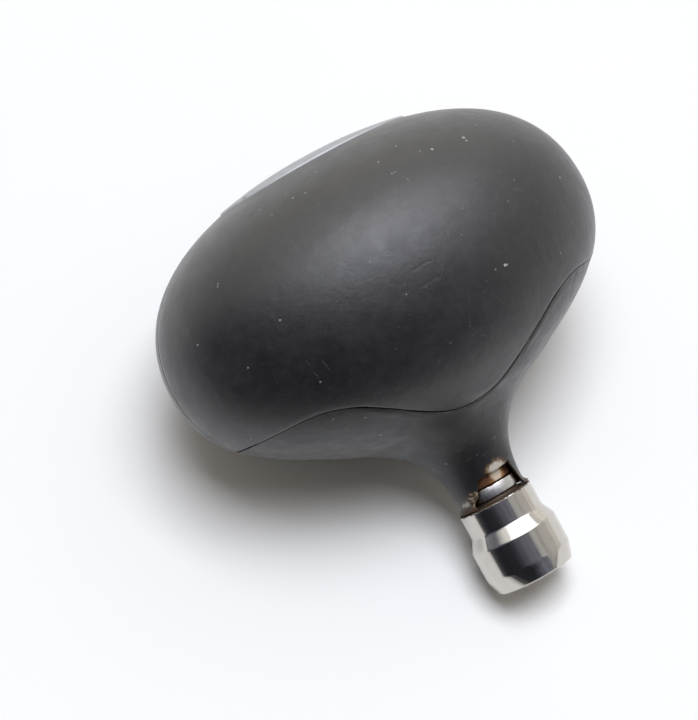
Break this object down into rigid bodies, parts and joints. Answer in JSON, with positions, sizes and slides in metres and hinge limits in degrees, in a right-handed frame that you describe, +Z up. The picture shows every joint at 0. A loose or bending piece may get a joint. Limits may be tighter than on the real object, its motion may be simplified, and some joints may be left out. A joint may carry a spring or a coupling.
{
  "type": "fishing reel knob",
  "caption": "Egg-shaped rubber reel knob on a flared moulded core that spins on a steel spindle with a stepped nickel collar.",
  "frame": {"origin": "centre of the footprint on the surface that the knob lies on", "axes": "+Z up, +X along the grip's length, the stem leans back in the Y-Z plane with its collar towards -Y"},
  "size_m": [0.046, 0.0458, 0.0342],
  "materials": {
    "rubber": "soft matte rubber, dusty",
    "core": "matte moulded plastic",
    "cap": "satin",
    "rusty_bush": "rusted sintered iron",
    "bush": "plain turned",
    "nickel": "bright nickel plate",
    "steel": "turned steel"
  },
  "bodies": {
    "knob": {"grip": "rubber", "neck_core": "core", "end_cap": "cap", "lower_bush": "rusty_bush", "upper_bush": "bush"},
    "spindle": {"spindle": "nickel", "thrust_washer": "steel", "retaining_washer": "steel", "retaining_screw": "steel"}
  },
  "joints": [
    {"name": "spindle_spin", "type": "hinge", "parent": "knob", "child": "spindle", "pos_m": [0, -0.02127, 0.00358], "axis": [0, 0.906, 0.4233], "continuous": true}
  ]
}
